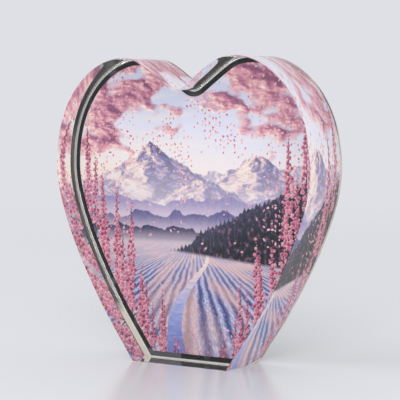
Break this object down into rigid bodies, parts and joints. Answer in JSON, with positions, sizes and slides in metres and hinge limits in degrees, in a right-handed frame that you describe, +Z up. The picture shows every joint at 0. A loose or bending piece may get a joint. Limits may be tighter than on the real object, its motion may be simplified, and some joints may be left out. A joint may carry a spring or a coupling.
{
  "type": "photo block",
  "caption": "Free-standing heart-shaped clear acrylic block with a flat foot, showing a landscape picture bonded to its rear face.",
  "frame": {"origin": "on the table plane, under the middle of the flat foot, halfway between the front face and the back of the backing sheet", "axes": "+X to the right across the heart as seen from the front, +Y from the front face to the backing sheet, +Z up from the foot to the lobes"},
  "size_m": [0.15, 0.0308, 0.15],
  "materials": {
    "clear_acrylic": "clear cast acrylic with polished faces and edges",
    "clear_film": "optically clear pressure-sensitive mounting film",
    "picture": "full-colour photographic print of a hazy mountain dawn",
    "black_backing": "black self-adhesive vinyl with a fine matt grain"
  },
  "bodies": {
    "root": {"acrylic_block": "clear_acrylic", "adhesive_film": "clear_film", "photo_print": "picture", "backing_sheet": "black_backing"}
  },
  "joints": []
}
